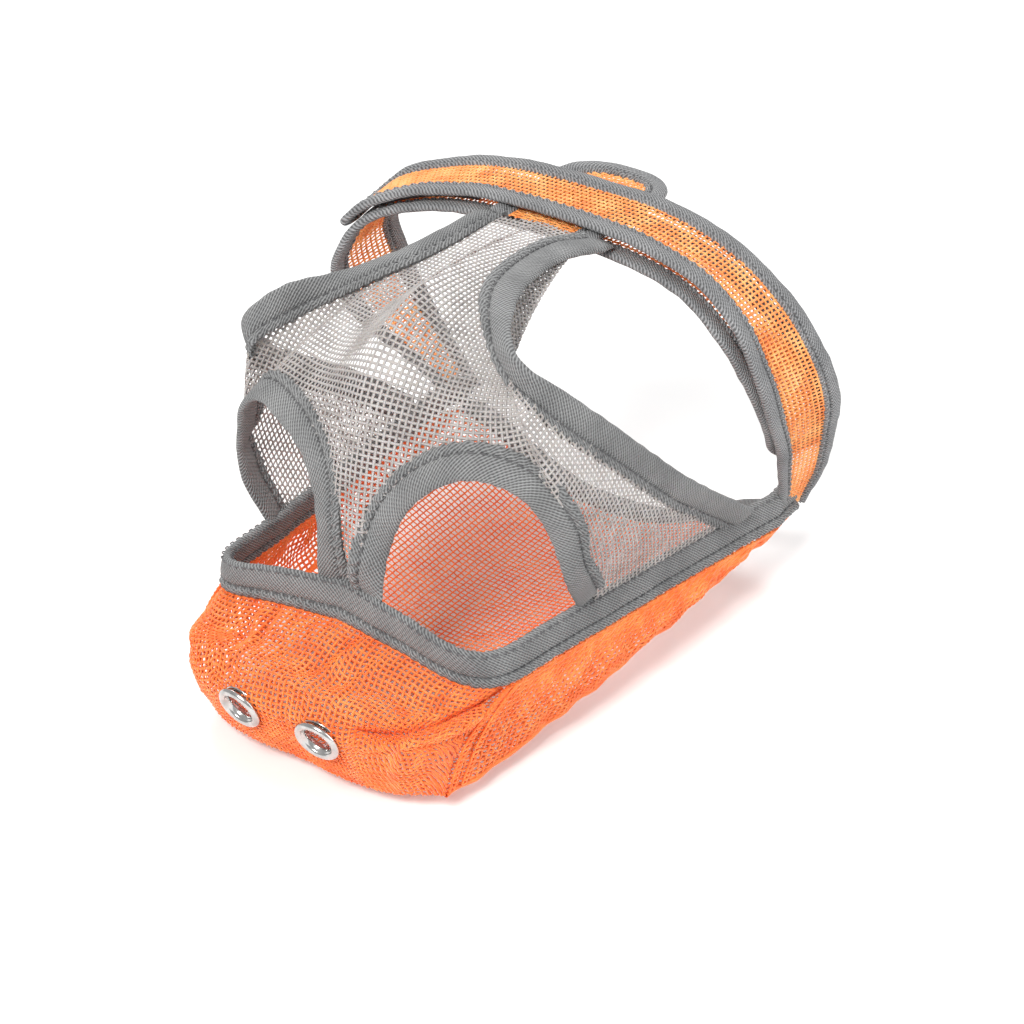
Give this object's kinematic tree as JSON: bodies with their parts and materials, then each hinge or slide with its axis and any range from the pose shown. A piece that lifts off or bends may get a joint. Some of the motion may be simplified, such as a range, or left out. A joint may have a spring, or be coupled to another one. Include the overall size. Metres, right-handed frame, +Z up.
{
  "type": "basket muzzle",
  "caption": "Soft full-face mesh muzzle for a short-snouted dog: mesh pouch, mesh face with eye and ear openings, and an overlapping hook-and-loop collar.",
  "frame": {"origin": "centre of the bounding box at the level the chin panel rests on", "axes": "+Z up, -Y towards the nose, +X towards the dog's left"},
  "size_m": [0.1275, 0.1544, 0.1084],
  "materials": {
    "orange_mesh": "open leno weave, orange polyester",
    "grey_binding": "twill binding tape, folded over the edges",
    "grey_mesh": "fine open mesh, pale grey",
    "fastener": "hook and loop",
    "nickel": "bright nickel plate"
  },
  "bodies": {
    "mask": {"front_panel": "orange_mesh", "cheek_panel_left": "orange_mesh", "cheek_panel_right": "orange_mesh", "chin_panel": "orange_mesh", "corner_seam_left": "orange_mesh", "corner_seam_right": "orange_mesh", "eye_binding_left": "grey_binding", "eye_binding_right": "grey_binding", "ear_binding_left": "grey_binding", "ear_binding_right": "grey_binding", "seam_binding": "grey_binding", "throat_binding": "grey_binding", "face_panel": "grey_mesh", "eyelet_left": "nickel", "eyelet_right": "nickel", "washer_left": "nickel", "washer_right": "nickel"},
    "outer_strap": {"outer_strap": "orange_mesh", "outer_strap_binding": "grey_binding", "outer_hook_patch": "fastener"},
    "inner_strap": {"inner_strap": "orange_mesh", "inner_strap_binding": "grey_binding", "inner_loop_patch": "fastener"},
    "tongue": {"forehead_tongue": "orange_mesh", "tongue_binding": "grey_binding", "tongue_hook_patch": "fastener"}
  },
  "joints": [
    {"name": "outer_strap_open", "type": "hinge", "parent": "mask", "child": "outer_strap", "pos_m": [0.0517, 0.0697, 0.0242], "axis": [0.037, 0.9716, -0.2339], "range_deg": [0, 75]},
    {"name": "tongue_lift", "type": "hinge", "parent": "mask", "child": "tongue", "pos_m": [0, 0.0313, 0.1001], "axis": [1, 0, 0], "range_deg": [0, 40]},
    {"name": "inner_strap_fold", "type": "hinge", "parent": "mask", "child": "inner_strap", "pos_m": [-0.0525, 0.0675, 0.0286], "axis": [1, 0, 0], "range_deg": [0, 20]}
  ],
  "couplings": [
    {"joint": "tongue_lift", "follows": "outer_strap_open", "ratio": 0.5}
  ]
}
